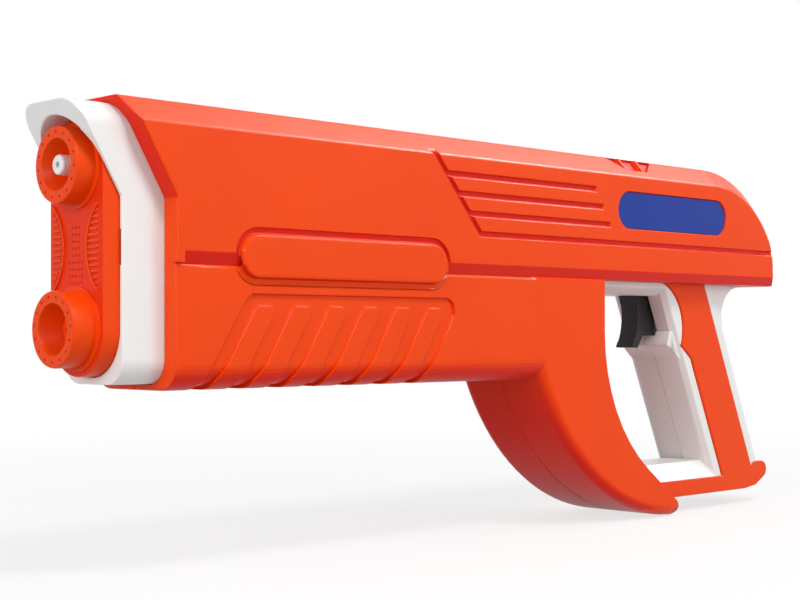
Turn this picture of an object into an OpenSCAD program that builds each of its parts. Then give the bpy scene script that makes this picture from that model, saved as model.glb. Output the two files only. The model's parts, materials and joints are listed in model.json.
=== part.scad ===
// Battery water squirter that fills through its nose, in millimetres.
// X runs from the muzzle to the tail, Y across the body, Z up from the tip of the hand guard.

/* [Body] */
// Length of the body from its front face to the tail
body_len = 468; // [455:1:500]
// Width of the upper body
body_w = 63; // [62:0.5:72]
// Height of the upper body above the seam line
upper_h = 64.5; // [63:0.5:72]
// Height of the lower body below the seam line
lower_h = 58; // [57:0.5:66]
// Wall thickness of the body shells
wall = 2.4; // [1.8:0.1:2.8]
// Width of the slope along the top edges
slope_w = 9.5; // [6:0.5:11]
// Height of the slope along the top edges
slope_h = 10.5; // [7:0.5:12]
// Radius of the lower edges
edge_r = 11; // [8:0.5:13]
// Step from the upper body's side in to the lower body's side
step_w = 1.5; // [1:0.1:2]
// Height of the undercut along the seam line
undercut_h = 5.2; // [4.4:0.1:5.8]
// Lean of the upper front edge, in degrees
rake = 30.5; // [20:0.5:34]
// Height of the upright part of the front edge above the seam line
rake_rise = 23; // [18:0.5:28]
// Radius of the tail's upper bend
tail_r = 80; // [76:1:84]
// Radius of the tail's rear bend
tail_end_r = 40; // [36:1:44]
// Angle where the tail's two bends meet, in degrees
tail_a = 36.87; // [33:0.5:40]

/* [Muzzle] */
// Width of the white collar
collar_w = 43.6; // [43:0.1:48]
// Reach of the collar's upright part ahead of the body
collar_len = 21; // [17:0.5:25]
// Gap between the collar's top and the body's top
collar_drop = 2.5; // [2:0.1:3.5]
// Corner radius of the collar
collar_r = 11; // [8:0.5:14]
// Radius of the nose plate's round ends
nose_r = 19.9; // [18.5:0.1:20.4]
// Reach of the nose plate ahead of the collar
nose_proud = 8; // [6:0.5:10]
// Height of the intake axis above the body's bottom
intake_rise = 25.9; // [24.5:0.1:27]
// Depth of the jet axis below the body's top
jet_drop = 28.5; // [28:0.1:30]
// Outer radius of the two cups
cup_r = 16.1; // [15:0.1:17]
// Length of the intake cup ahead of the nose plate
cup_len = 11.5; // [9:0.5:15]
// Length of the jet cup ahead of the nose plate
jet_cup_len = 9.7; // [8:0.1:13]
// Radius of the cups' mouths
mouth_r = 11; // [10:0.1:12]
// Radius of the cups' inner ends
throat_r = 7.6; // [7:0.1:9]
// Radius of the jet tip
tip_r = 4.3; // [3.6:0.1:5]

/* [Side details] */
// Length of the raised side bar
bar_len = 128.5; // [110:0.5:136]
// Height of the raised side bar
bar_h = 19.4; // [16:0.2:22]
// Distance from the body's front face to the side bar
bar_from = 33.6; // [28:0.2:40]
// Width of the groove round the side bar
moat_w = 2.8; // [1.5:0.1:3]
// Number of grip pads
pad_count = 6; // [4:1:7]
// Pitch of the grip pads
pad_pitch = 21.4; // [20:0.1:22.5]
// Width of a grip pad
pad_w = 12.7; // [10:0.1:15]
// Depth of the grip recess
grip_depth = 1.6; // [0.8:0.1:1.8]
// Length of the blue badge
badge_len = 105; // [90:0.1:106]
// Height of the blue badge
badge_h = 20.2; // [16:0.2:22]
// Thickness of the blue badge
badge_t = 0.9; // [0.7:0.1:1.3]

/* [Guard and handle] */
// Depth of the hand guard below the body
guard_drop = 81; // [78:0.5:88]
// Distance from the tail to the hand guard's rear edge
guard_back = 178.3; // [176.5:0.1:186]
// Radius of the hand guard's front
fin_r = 135; // [130:0.5:140]
// Rounding of the hand guard's front edges
fin_edge_r = 6; // [4:0.5:8]
// Radius of the hand guard's rear curve
guard_r = 95; // [92:0.5:98]
// Lean of the handle, in degrees
lean = 24.6; // [22:0.2:26]
// Width of the handle across its plates
handle_w = 41; // [38:0.5:44]
// Thickness of the handle's side plates
plate_t = 3; // [2.4:0.1:3.6]
// Height of the side plates above the handle's white core
plate_proud = 1.2; // [0.8:0.1:1.6]
// Depth of the side plates from front to rear
plate_d = 33.4; // [31:0.2:35]
// Height of the bottom bar
foot_h = 9.6; // [8:0.2:11]
// Width of the trigger
trigger_w = 12; // [9:0.2:13]
// Pull of the trigger, in degrees
trigger_pull = 10; // [6:1:11]

/* [Water works] */
// Radius of the water tank
tank_r = 24; // [21:0.5:24.5]
// Length of the water tank
tank_len = 160; // [140:1:168]
// Teeth of each pump gear
pump_teeth = 12; // [11:1:13]
// Module of the pump gears
gear_m = 1.6; // [1.5:0.05:1.65]
// Face width of the pump gears
gear_w = 13.6; // [10:0.2:15]
// Radius of the motor's can
motor_r = 13.8; // [12:0.1:14]
// Length of the motor's can
motor_len = 34; // [28:0.5:38]
// Travel of the valve's plunger
plunger_travel = 6; // [5.6:0.1:7]

/* [Fits] */
// Gap between pieces that are pushed together
fit_gap = 0.3; // [0.2:0.05:0.4]
// Running gap of shafts and pins, on the radius
run_gap = 0.06; // [0.03:0.01:0.09]
// Radius of the screws
screw_r = 1.35; // [1.1:0.05:1.5]

/* [Hidden] */
$fn = 48;
big = 600;
arc_n = 8;
half_w = body_w / 2;
lower_w = half_w - step_w;

// Levels
seam_drop = 4.2;
bottom_z = guard_drop;
seam_z = bottom_z + lower_h;
top_z = seam_z + upper_h;
under_z = seam_z - seam_drop;
rake_z = seam_z + rake_rise;
z_jet = top_z - jet_drop;
z_intake = bottom_z + intake_rise;
z_mid = (z_jet + z_intake) / 2;
collar_top = top_z - collar_drop;
collar_bottom = bottom_z + 2.8;

// Stations along the body
visor_reach = collar_len + tan(rake) * (collar_top - rake_z);
x_front = visor_reach - (visor_reach + body_len) / 2;
x_tail = x_front + body_len;
nose_x = x_front - collar_len - nose_proud;
tail_step = tail_r - tail_end_r;
x_bend = x_tail - tail_end_r - tail_step * cos(tail_a);
bend_z = top_z - tail_r;
x_end = x_bend + tail_step * cos(tail_a);
end_z = bend_z + tail_step * sin(tail_a);

// Hand guard
guard_x = x_tail - guard_back;
fin_x = guard_x + 71.1;
guard_arc_z = 106;
guard_arc_a = 54;
guard_end_x = guard_x + guard_r * (1 - cos(guard_arc_a));
guard_end_z = guard_arc_z - guard_r * sin(guard_arc_a);
guard_tip_r = 5;
guard_tip_a = -60;
guard_tip_x = guard_end_x
    + ((guard_end_z - guard_tip_r) * sin(guard_arc_a) - guard_tip_r) / cos(guard_arc_a);
fin_z = sqrt(pow(fin_r, 2) - pow(fin_x - guard_tip_x - guard_tip_r * cos(guard_tip_a), 2));

// Side features
bar_x0 = x_front + bar_from;
bar_proud = 1.5;
groove_d = 1.6;
groove_w = 2.8;
panel_z = seam_z + 16;
panel_x = x_tail - 281;
panel_lean = 40.4;
badge_x = x_tail - 115.3;
badge_z = panel_z + 19;
badge_seat = 1.7;
grip_top = seam_z - 16.6;
grip_slant = 32;
pad_top = grip_top - 4.8;
pads_span = (pad_count - 1) * pad_pitch + pad_w;
grip_margin = 7.8;
grip_x0 = x_front + 39;

// Ports and the water line
jet_cup_x = nose_x - jet_cup_len;
cup_floor = 2;
plate_wall = 2.4;
nose_len = collar_len + nose_proud + 1;
pipe_r = 5;
bore_r = 2.5;
strainer_t = 1.6;
pipe_x0 = nose_x + cup_floor;
check_x = x_front + 5;
check_len = 25;
check_r = 8;
check_wall = 1.9;
barb_r = 4.2;
barb_len = 12;
riser_barb = 10;
hose_t = 1.8;
valve_x = x_front + 33;
valve_r = 9;
valve_x0 = valve_x - 26;
valve_x1 = valve_x + 18;
socket_len = 8;
tank_x = x_front + 63;
tank_wall = 2.4;
neck_r = 6;

// Pump
pump_x = x_front + 96;
cover_t = 6;
gasket_t = 1;
pump_z = z_intake + 6.3;
pitch_r = gear_m * pump_teeth / 2;
gear_tip_r = pitch_r + 0.9 * gear_m;
gear_root_r = pitch_r - 1.1 * gear_m;
press_a = 25;
backlash = 0.24;
base_r = pitch_r * cos(press_a);
flank_n = 4;
chamber_gap = 0.2;
chamber_r = gear_tip_r + chamber_gap;
chamber_x = pump_x + cover_t + gasket_t;
chamber_len = gear_w + 2 * chamber_gap;
back_t = 6;
pump_half_w = pitch_r + chamber_r + 2.5;
pump_half_h = chamber_r + 2.6;
pump_corners = [for (y = [-1, 1], z = [-1, 1]) [y * (pump_half_w - 2.6), pump_z + z * (pump_half_h - 2.6)]];
motor_x = chamber_x + chamber_len + back_t;
shaft_r = 1.5;
seal_r = 4.4;
seal_t = 3;
riser_x = chamber_x + chamber_len / 2;
pump_top = pump_z + pump_half_h;
tank_port_z = z_jet - tank_r - 8;

// Valve
plunger_r = 3.5;
plunger_top = z_jet + plunger_travel / 2;
block_z = z_jet - 13;
frame_t = 2;
coil_r = 11;
coil_top = block_z - frame_t;
coil_len = 30;
core_r = 4.2;
core_bottom = coil_top - coil_len + 1;
frame_bottom = core_bottom - plunger_travel - 7;
spring_wire = 0.45;

// Handle
core_w = handle_w / 2 - plate_proud;
handle_at = 75.8;
nose_bulge = 9;
strap_d = 10.3;
foot_z = 8.6;
foot_top = foot_z + foot_h;
floor_h = 10;
ceil_h = 7.5;
heel_x = guard_x + 178;
heel_r = 5.3;
heel_h = 6.6;
skin = 3.4;
palm_r = 28.4;
palm_x = guard_x + 59.6;
palm_z = under_z - 27;
hook_z = under_z - 37;
tang_x0 = guard_x + 100;
tang_x1 = guard_x + 128;
tang_w = 13;
tang_h = 11;
flare_r = 20;

// Trigger and switch
pivot_x = guard_x + 65.3;
pivot_z = under_z + 16;
pin_r = 1.5;
hub_r = 6;
spring_x = guard_x + 42;
spring_r = 3;
arm_z = pivot_z - 3;
button_z = under_z + 4.5;
switch_x0 = guard_x + 79;
switch_len = 17;
trigger_rear = guard_x + 72.2;
skirt_x = pivot_x + 13.7;
skirt_z = pivot_z - 35.3;
hip_gap = 0.3;

// Battery and charging
cell_r = 9.2;
cell_len = 65;
cell_x0 = x_tail - 101;
tray_z = under_z + 12.5;
tray_floor = 2.5;
cell_z = tray_z + tray_floor + cell_r;
cell_y = cell_r + 0.4;
tray_half_w = cell_y + cell_r + 1;
tray_end = 2;
tray_x0 = cell_x0 - tray_end - fit_gap;
tray_x1 = cell_x0 + cell_len + tray_end + fit_gap;
port_z = end_z - 5.5;
port_w = 9;
port_h = 3.4;
port_len = 8;
cap_w = 16;
cap_h = 8;
cap_t = 1.2;

// Board
board_x = x_front + 188;
board_y = -18;
board_l = 40;
board_h = 32;
board_t = 1.6;
board_z = bottom_z + 12;

// Fastening
boss_r = 4.6;
head_r = 2.9;
head_t = 2;
head_y = 20;
screw_tip = -10;
pin_boss_r = 4.2;
pin_end = 20;
tang_boss = [guard_x + 114, under_z + 6.5];
shell_bosses = [
    [x_front + 12, z_mid],
    [x_front + 66, z_mid - 8],
    [x_front + 71, bottom_z + 10],
    [x_front + 172, z_mid - 4],
    [x_front + 178, bottom_z + 11],
    [guard_x - 50, seam_z + 12],
    [guard_x - 14, bottom_z - 24],
    [guard_x - 9, bottom_z + 28],
    [guard_x + 16, top_z - 14],
    [x_tail - 26, end_z + 24],
    tang_boss
];
grip_head_y = handle_w / 2 - 2.2;
grip_screw_tip = 2.6 - handle_w / 2;
grip_screw_z = bottom_z - 8;
grip_screw_in = 15;
foot_screw_front = 84;
foot_screw_rear = 150;
grip_bosses = [
    [handle_x(grip_screw_z) + grip_screw_in, grip_screw_z],
    [guard_x + foot_screw_front, foot_z + foot_h / 2],
    [guard_x + foot_screw_rear, foot_z + foot_h / 2]
];

// Points of an arc
function arc(cx, cy, r, a0, a1) =
    [for (i = [0:arc_n]) let (a = a0 + (a1 - a0) * i / arc_n) [cx + r * cos(a), cy + r * sin(a)]];

// Front line of the handle's side plates at a level
function handle_x(z) = guard_x + handle_at + tan(lean) * (under_z - z);

// Straight lower stretch of the hand guard's rear edge
function guard_line_x(z) = guard_end_x + (guard_end_z - z) * tan(guard_arc_a);

// A side view drawn in X and Z, extruded across the body
module across(y0, y1) {
    translate([0, y1, 0]) rotate([90, 0, 0]) linear_extrude(y1 - y0) children();
}

// A cross-section drawn in Y and Z, extruded along the body
module along(x0, x1) {
    translate([x0, 0, 0]) rotate([90, 0, 90]) linear_extrude(x1 - x0) children();
}

// A round bar along the body
module rod_x(x0, x1, y, z, r) {
    translate([x0, y, z]) rotate([0, 90, 0]) cylinder(r = r, h = x1 - x0);
}

// A round bar across the body
module rod_y(x, z, y0, y1, r) {
    translate([x, y1, z]) rotate([90, 0, 0]) cylinder(r = r, h = y1 - y0);
}

// A round upright bar
module rod_z(x, y, z0, z1, r) {
    translate([x, y, z0]) cylinder(r = r, h = z1 - z0);
}

// A block between two corners
module block(a, b) {
    translate(a) cube(b - a);
}

// Round-ended bar outline, its length along X
module stadium(x0, z, length, height) {
    r = height / 2;
    translate([x0 + r, z - r]) square([length - height, height]);
    translate([x0 + r, z]) circle(r);
    translate([x0 + length - r, z]) circle(r);
}

// Upright round-ended outline of the nose
module nose_outline(r) {
    translate([-r, z_intake]) square([2 * r, z_jet - z_intake]);
    translate([0, z_intake]) circle(r);
    translate([0, z_jet]) circle(r);
}

module collar_outline(gap) {
    w = collar_w / 2 + gap;
    z0 = collar_bottom - gap;
    z1 = collar_top + gap;
    r = collar_r + gap;
    polygon(concat(
        arc(w - r, z0 + r, r, -90, 0),
        arc(w - r, z1 - r, r, 0, 90),
        arc(r - w, z1 - r, r, 90, 180),
        arc(r - w, z0 + r, r, 180, 270)
    ));
}

// Side view of everything behind the raked front edge, moved back by s
module behind_front(s) {
    polygon([
        [x_front + s, -1],
        [x_front + s, rake_z],
        [x_front + s - tan(rake) * (top_z + 1 - rake_z), top_z + 1],
        [x_tail + 1, top_z + 1],
        [x_tail + 1, -1]
    ]);
}

// Upper body: a sloped section run straight and then round the two bends of the tail
module upper_section(t) {
    w = half_w - t;
    top = top_z - t;
    polygon([
        [-w, under_z + t], [w, under_z + t], [w, top - slope_h], [w - slope_w, top],
        [slope_w - w, top], [-w, top - slope_h]
    ]);
}

module tail_bend(r, a0, a1, t) {
    w = half_w - t;
    rotate([90, 0, 0]) rotate([0, 0, a0]) rotate_extrude(angle = a1 - a0, $fn = 96)
        polygon([[0, -w], [r - slope_h, -w], [r, slope_w - w], [r, w - slope_w], [r - slope_h, w], [0, w]]);
}

module upper_form(t) {
    w = half_w - t;
    x1 = x_tail - t;
    intersection() {
        union() {
            along(x_front - visor_reach, x_bend) upper_section(t);
            translate([x_bend, 0, bend_z]) tail_bend(tail_r - t, tail_a, 90, t);
            translate([x_end, 0, end_z]) tail_bend(tail_end_r - t, 0, tail_a, t);
            block([x_bend - 5, -w, under_z + t], [x_end + 10, w, end_z + 5]);
            translate([0, 0, under_z + t]) linear_extrude(end_z - under_z - t) polygon([
                [x_end, -w], [x1 - slope_h, -w], [x1, slope_w - w],
                [x1, w - slope_w], [x1 - slope_h, w], [x_end, w]
            ]);
        }
        block([-big, -big, under_z + t], [big, big, big]);
    }
}

// Lower body: a section with rounded lower edges, under the step below the seam line
module lower_section(t) {
    w = lower_w - t;
    z0 = bottom_z + t;
    r = edge_r - t;
    lip = t > 0 ? 0 : 1.5;
    polygon(concat(
        arc(w - r, z0 + r, r, -90, 0),
        [[w, under_z - lip], [w - lip, under_z], [w - lip, seam_z + 6]],
        [[lip - w, seam_z + 6], [lip - w, under_z], [-w, under_z - lip]],
        arc(r - w, z0 + r, r, 180, 270)
    ));
}

module lower_form(t) {
    along(x_front, guard_x - t) lower_section(t);
}

// Hand guard: a wheel-shaped front trimmed by the rear curve
module fin_wheel(t) {
    w = lower_w - t;
    r = fin_r - t;
    c = fin_edge_r - t / 2;
    translate([fin_x, 0, fin_z]) rotate([90, 0, 0]) rotate([0, 0, 180]) rotate_extrude(angle = 110, $fn = 96)
        polygon(concat([[0, -w]], arc(r - c, c - w, c, -90, 0), arc(r - c, w - c, c, 0, 90), [[0, w]]));
}

module fin_outline(t) {
    x_far = fin_x - fin_r - 1;
    tip_r = guard_tip_r - t;
    polygon(concat(
        [[x_far, -1], [x_far, seam_z], [guard_x - t, seam_z]],
        arc(guard_x + guard_r, guard_arc_z, guard_r + t, 180, 180 + guard_arc_a),
        arc(guard_tip_x, guard_tip_r, tip_r, guard_arc_a, guard_tip_a),
        [[guard_tip_x + tip_r * cos(guard_tip_a), -1]]
    ));
}

module fin_form(t) {
    intersection() {
        fin_wheel(t);
        across(-half_w, half_w) fin_outline(t);
    }
}

module body_form(t) {
    intersection() {
        union() {
            upper_form(t);
            lower_form(t);
            fin_form(t);
        }
        across(-big, big) behind_front(t);
    }
}

// The slanted grip recess, less its pads, sunk into the lower body
module grip_outline(z1, x0, w, r) {
    z0 = bottom_z - 1;
    run = (z1 - z0) * tan(grip_slant);
    left_x = x0 + r * (1 - sin(grip_slant)) / cos(grip_slant);
    right_x = x0 + w - r * (1 + sin(grip_slant)) / cos(grip_slant);
    polygon(concat(
        arc(left_x, z1 - r, r, 180 - grip_slant, 90),
        arc(right_x, z1 - r, r, 90, -grip_slant),
        [[x0 + w - run, z0], [x0 - run, z0]]
    ));
}

module grip_cut() {
    shift = (grip_top - pad_top) * tan(grip_slant);
    difference() {
        across(-half_w - 1, half_w + 1) difference() {
            grip_outline(grip_top, grip_x0, pads_span + 2 * grip_margin, 6);
            for (i = [0:pad_count - 1])
                grip_outline(pad_top, grip_x0 - shift + grip_margin + i * pad_pitch, pad_w, 3);
        }
        along(x_front - 1, guard_x) lower_section(grip_depth);
    }
}

// Groove round the rear panel, and the three short ones that start from its slanted front
module panel_grooves() {
    half_run = groove_w / 2 / cos(panel_lean);
    rise = top_z - slope_h + 2 - panel_z;
    lean_run = rise * tan(panel_lean);
    end_lean = 33.4;
    end_x = x_tail - 168.7;
    polygon([
        [panel_x - half_run, panel_z], [panel_x + half_run, panel_z],
        [panel_x + half_run - lean_run, panel_z + rise], [panel_x - half_run - lean_run, panel_z + rise]
    ]);
    translate([panel_x, panel_z]) circle(groove_w / 2);
    translate([panel_x, panel_z - groove_w / 2]) square([x_tail + 1 - panel_x, groove_w]);
    for (h = [10, 19.4, 28.8]) {
        x0 = panel_x - h * tan(panel_lean);
        x1 = end_x - h * tan(end_lean);
        translate([x0, panel_z + h - groove_w / 2]) square([x1 - x0, groove_w]);
    }
}

module badge_outline(gap) {
    stadium(badge_x - badge_len / 2 - gap, badge_z, badge_len + 2 * gap, badge_h + 2 * gap);
}

// Everything sunk into one side of the upper body, the side being -1 or 1
module side_cuts(side) {
    mirror([0, side < 0 ? 1 : 0, 0]) {
        across(half_w - groove_d, half_w + 1) panel_grooves();
        across(half_w - badge_seat, half_w + 1) badge_outline(fit_gap);
        across(half_w - groove_d, half_w + 1) difference() {
            stadium(bar_x0 - moat_w, seam_z, bar_len + 2 * moat_w, bar_h + 2 * moat_w);
            stadium(bar_x0, seam_z, bar_len, bar_h);
        }
        along(x_front + 4, x_tail + 1)
            polygon([
                [half_w - 2.5, under_z - 0.01], [half_w + 1, under_z - 0.01],
                [half_w + 1, under_z + undercut_h], [half_w, under_z + undercut_h]
            ]);
        slope_vent();
    }
}

// Pocket in the sloped edge near the rear, with two ribs left standing
module slope_vent() {
    depth = 2.4;
    vent_l = 42.5;
    vent_w = 8.8;
    front_run = 13.3;
    rear_run = 10.4;
    rib_t = 2;
    slope_a = atan2(slope_h, slope_w);
    translate([x_tail - 169.3, half_w - slope_w, top_z]) rotate([-slope_a, 0, 0])
        translate([0, 0, -depth]) linear_extrude(depth + 1) difference() {
            polygon([[-1, -0.8], [vent_l + 1, -0.8], [vent_l - rear_run, vent_w], [front_run, vent_w]]);
            for (x = [12.2, 27.8]) translate([x, -1]) square([rib_t, vent_w + 2]);
        }
}

// The raised bar on each side
module side_bars() {
    for (s = [0, 1]) mirror([0, s, 0])
        across(half_w - groove_d - 1, half_w + bar_proud) stadium(bar_x0, seam_z, bar_len, bar_h);
}

// Openings through the body's walls
module body_openings() {
    along(x_front - visor_reach - 1, x_front + wall + 0.01) collar_outline(fit_gap);
    block([guard_x + 36, -tang_w - fit_gap, under_z - 1],
        [tang_x1 + fit_gap, tang_w + fit_gap, under_z + wall + 0.01]);
    block([x_tail - wall - 1, -port_w / 2 - fit_gap, port_z - port_h / 2 - fit_gap],
        [x_tail + 1, port_w / 2 + fit_gap, port_z + port_h / 2 + fit_gap]);
    block([x_tail - cap_t, -cap_w / 2 - fit_gap, port_z - cap_h / 2 - fit_gap],
        [x_tail + 1, cap_w / 2 + fit_gap, port_z + cap_h / 2 + fit_gap]);
}

// Ribs that carry what lies inside, filling the body's section at a station
module rib(x, z0, z1) {
    t = 2;
    intersection() {
        block([x - t / 2, -big, z0], [x + t / 2, big, z1]);
        body_form(wall / 2);
    }
}

module inner_ribs() {
    difference() {
        union() {
            rib(x_front + 17, bottom_z, top_z);
            rib(tank_x + 38, z_jet - tank_r + 3, top_z);
            rib(tank_x + tank_len - 27, z_jet - tank_r + 3, top_z);
            rib(riser_x, bottom_z, pump_z - pump_half_h);
            rib(motor_x + motor_len * 0.6, bottom_z, pump_z);
        }
        rod_x(x_front, valve_x, 0, z_jet, valve_r + fit_gap);
        rod_x(x_front, valve_x, 0, z_intake, check_r + fit_gap);
        rod_x(tank_x, tank_x + tank_len, 0, z_jet, tank_r + fit_gap);
        rod_x(motor_x, motor_x + motor_len, -pitch_r, pump_z, motor_r + fit_gap);
        block([motor_x, motor_r - pitch_r - 2, pump_z - motor_r * 0.6],
            [motor_x + motor_len, half_w, pump_z + 1]);
    }
}

// Shelf for the battery tray and pad for the charging socket
module rear_shelves() {
    for (s = [0, 1]) mirror([0, s, 0])
        block([cell_x0, tang_w + 5, tray_z - 3], [tray_x1, half_w - wall / 2, tray_z]);
    block([x_tail - wall - port_len, -port_w / 2, under_z + wall / 2],
        [x_tail - wall / 2, port_w / 2, port_z - port_h / 2]);
}

module screw_bosses() {
    intersection() {
        for (p = shell_bosses) rod_y(p[0], p[1], -half_w, half_w, boss_r);
        body_form(wall / 2);
    }
}

module pin_bosses() {
    for (s = [0, 1]) mirror([0, s, 0])
        rod_y(pivot_x, pivot_z, trigger_w / 2 + 0.6, half_w - wall / 2, pin_boss_r);
}

module board_pegs() {
    for (x = [0.2, 0.8])
        rod_y(board_x + board_l * x, board_z + board_h / 2, wall / 2 - lower_w, board_y - board_t, 2.2);
}

module whole_body() {
    difference() {
        union() {
            difference() {
                union() {
                    body_form(0);
                    side_bars();
                }
                body_form(wall);
            }
            screw_bosses();
            inner_ribs();
            rear_shelves();
            pin_bosses();
        }
        grip_cut();
        side_cuts(-1);
        side_cuts(1);
        body_openings();
        rod_y(pivot_x, pivot_z, -pin_end, pin_end, pin_r + run_gap);
    }
}

module left_shell() {
    color("OrangeRed") difference() {
        union() {
            intersection() {
                whole_body();
                block([-big, -big, -big], [big, 0, big]);
            }
            board_pegs();
        }
        for (p = shell_bosses) rod_y(p[0], p[1], screw_tip - 2, 1, screw_r + run_gap);
    }
}

module right_shell() {
    color("OrangeRed") difference() {
        intersection() {
            whole_body();
            block([-big, 0, -big], [big, big, big]);
        }
        for (p = shell_bosses) {
            rod_y(p[0], p[1], -1, half_w, screw_r + fit_gap);
            rod_y(p[0], p[1], head_y, half_w + 1, head_r + fit_gap);
        }
    }
}

// White ring with a brim, held by a flange behind the body's front wall
module muzzle_collar() {
    flange = 2.4;
    inner_floor = bottom_z + wall + fit_gap;
    slot_h = 15;
    slot_w = (collar_w / 2 - nose_r - fit_gap) / 2;
    color("WhiteSmoke") difference() {
        union() {
            intersection() {
                along(x_front - visor_reach - 2, x_front + wall + fit_gap + flange) collar_outline(0);
                across(-big, big) behind_front(-collar_len);
            }
            along(x_front + wall + fit_gap, x_front + wall + fit_gap + flange) intersection() {
                collar_outline(2);
                translate([-collar_w, inner_floor]) square([2 * collar_w, rake_z - inner_floor]);
            }
        }
        along(x_front - visor_reach - 3, x_front + big) nose_outline(nose_r + fit_gap);
        for (s = [0, 1]) mirror([0, s, 0])
            block([x_front - collar_len - 1, nose_r, z_mid - slot_h / 2],
                [x_front - collar_len + 6, nose_r + fit_gap + slot_w, z_mid + slot_h / 2]);
    }
}

// One cup with a funnel mouth, its floor holed for what comes through
module cup_outside(z, len) {
    rod_x(nose_x - len, nose_x + 1, 0, z, cup_r);
    rod_x(nose_x - 0.9, nose_x + 1, 0, z, cup_r + 2);
}

module cup_inside(z, len, hole_r) {
    translate([nose_x - len, 0, z]) rotate([0, 90, 0]) {
        translate([0, 0, -0.01]) cylinder(r1 = mouth_r, r2 = throat_r, h = len + 0.01);
        cylinder(r = hole_r, h = len + cup_floor + 1);
    }
}

// Raised ribs on the nose between the cups: an hourglass and two ladders
module nose_ribs() {
    rib_t = 1.1;
    arc_r = 24;
    arc_y = 32;
    rung_pitch = 2.5;
    rung_count = 15;
    for (s = [-1, 1]) {
        intersection() {
            translate([s * arc_y, z_mid]) difference() {
                circle(arc_r);
                circle(arc_r - rib_t);
            }
            nose_outline(nose_r - 1);
        }
        intersection() {
            translate([s * arc_y, z_mid]) circle(arc_r - 1.8);
            nose_outline(nose_r - 1.4);
            for (i = [0:rung_count - 1])
                translate([-nose_r, z_mid + (i - (rung_count - 1) / 2) * rung_pitch - rib_t / 2])
                    square([2 * nose_r, rib_t]);
        }
    }
}

module nose_plate() {
    rib_h = 0.9;
    color("OrangeRed") difference() {
        union() {
            along(nose_x, nose_x + nose_len) nose_outline(nose_r);
            cup_outside(z_jet, jet_cup_len);
            cup_outside(z_intake, cup_len);
            along(nose_x - rib_h, nose_x + 0.5) difference() {
                nose_ribs();
                for (z = [z_jet, z_intake]) translate([0, z]) circle(cup_r + 1);
            }
        }
        along(nose_x + cup_floor, nose_x + nose_len + 1) nose_outline(nose_r - plate_wall);
        cup_inside(z_jet, jet_cup_len, tip_r + fit_gap);
        cup_inside(z_intake, cup_len, pipe_r - 1);
    }
}

// White tip in the upper cup, with its flange behind the cup's floor
module jet_nozzle() {
    x0 = jet_cup_x + 0.6;
    x1 = nose_x + cup_floor;
    color("WhiteSmoke") difference() {
        union() {
            translate([x0, 0, z_jet]) rotate([0, 90, 0]) cylinder(r1 = tip_r - 0.6, r2 = tip_r, h = 0.8);
            rod_x(x0 + 0.8, x1 + 1, 0, z_jet, tip_r);
            rod_x(x1, x1 + 2.4, 0, z_jet, pipe_r + 3);
            rod_x(x1 + 2, valve_x0 + socket_len, 0, z_jet, pipe_r);
        }
        rod_x(x0 - 1, x1 + 3, 0, z_jet, 1.2);
        rod_x(x1 + 2.9, valve_x0 + socket_len + 1, 0, z_jet, bore_r);
    }
}

// Disc with rings of fine holes, seated at the inner end of the lower cup
module intake_strainer() {
    x1 = nose_x;
    seat_r = throat_r - 0.1;
    color("OrangeRed") difference() {
        rod_x(x1 - strainer_t, x1, 0, z_intake, seat_r);
        rod_x(x1 - strainer_t - 1, x1 + 1, 0, z_intake, 0.6);
        for (ring = [1, 2], i = [0:6 * ring - 1]) {
            a = i * 60 / ring;
            rod_x(x1 - strainer_t - 1, x1 + 1, 2.4 * ring * cos(a), z_intake + 2.4 * ring * sin(a), 0.6);
        }
    }
}

// Way in: pipe, one-way valve and hose to the pump
module intake_pipe() {
    color("WhiteSmoke") difference() {
        union() {
            rod_x(pipe_x0, pipe_x0 + 2.4, 0, z_intake, pipe_r + 3);
            rod_x(pipe_x0, check_x + socket_len - 1, 0, z_intake, pipe_r);
        }
        rod_x(pipe_x0 - 1, check_x + socket_len, 0, z_intake, pipe_r - 1.4);
    }
}

module check_valve_body() {
    color("Gainsboro") difference() {
        union() {
            rod_x(check_x, check_x + check_len, 0, z_intake, check_r);
            rod_x(check_x + check_len - 1, check_x + check_len + barb_len, 0, z_intake, barb_r);
        }
        rod_x(check_x - 1, check_x + check_len - 3, 0, z_intake, check_r - check_wall);
        rod_x(check_x + 1, check_x + check_len + barb_len + 1, 0, z_intake, bore_r);
    }
}

module duckbill() {
    x0 = check_x + socket_len - 1;
    r = check_r - check_wall - 0.1;
    color("DimGray") difference() {
        union() {
            rod_x(x0, x0 + 2, 0, z_intake, r);
            translate([x0 + 1.9, 0, z_intake]) rotate([0, 90, 0]) cylinder(r1 = r - 1.6, r2 = 1.4, h = 9);
        }
        translate([x0 - 0.01, 0, z_intake]) rotate([0, 90, 0]) cylinder(r1 = r - 3, r2 = 0.5, h = 9);
        block([x0 + 6, -0.2, z_intake - 4], [x0 + 12, 0.2, z_intake + 4]);
    }
}

module intake_hose() {
    x0 = check_x + check_len;
    color("Silver") difference() {
        rod_x(x0, pump_x, 0, z_intake, barb_r + hose_t);
        rod_x(x0 - 1, pump_x + 1, 0, z_intake, barb_r + run_gap);
    }
}

// Gear pump: two meshing gears in a figure-of-eight chamber
function involute(a) = tan(a) - a * PI / 180;
function flank_angle(r) =
    (PI * gear_m / 2 - backlash) / 2 / pitch_r + involute(press_a) - involute(acos(base_r / r));
function flank(side) = [
    for (i = [0:flank_n])
        let (r = base_r + (gear_tip_r - base_r) * (side > 0 ? flank_n - i : i) / flank_n,
            a = side * flank_angle(r) * 180 / PI)
        [r * cos(a), r * sin(a)]
];

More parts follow.
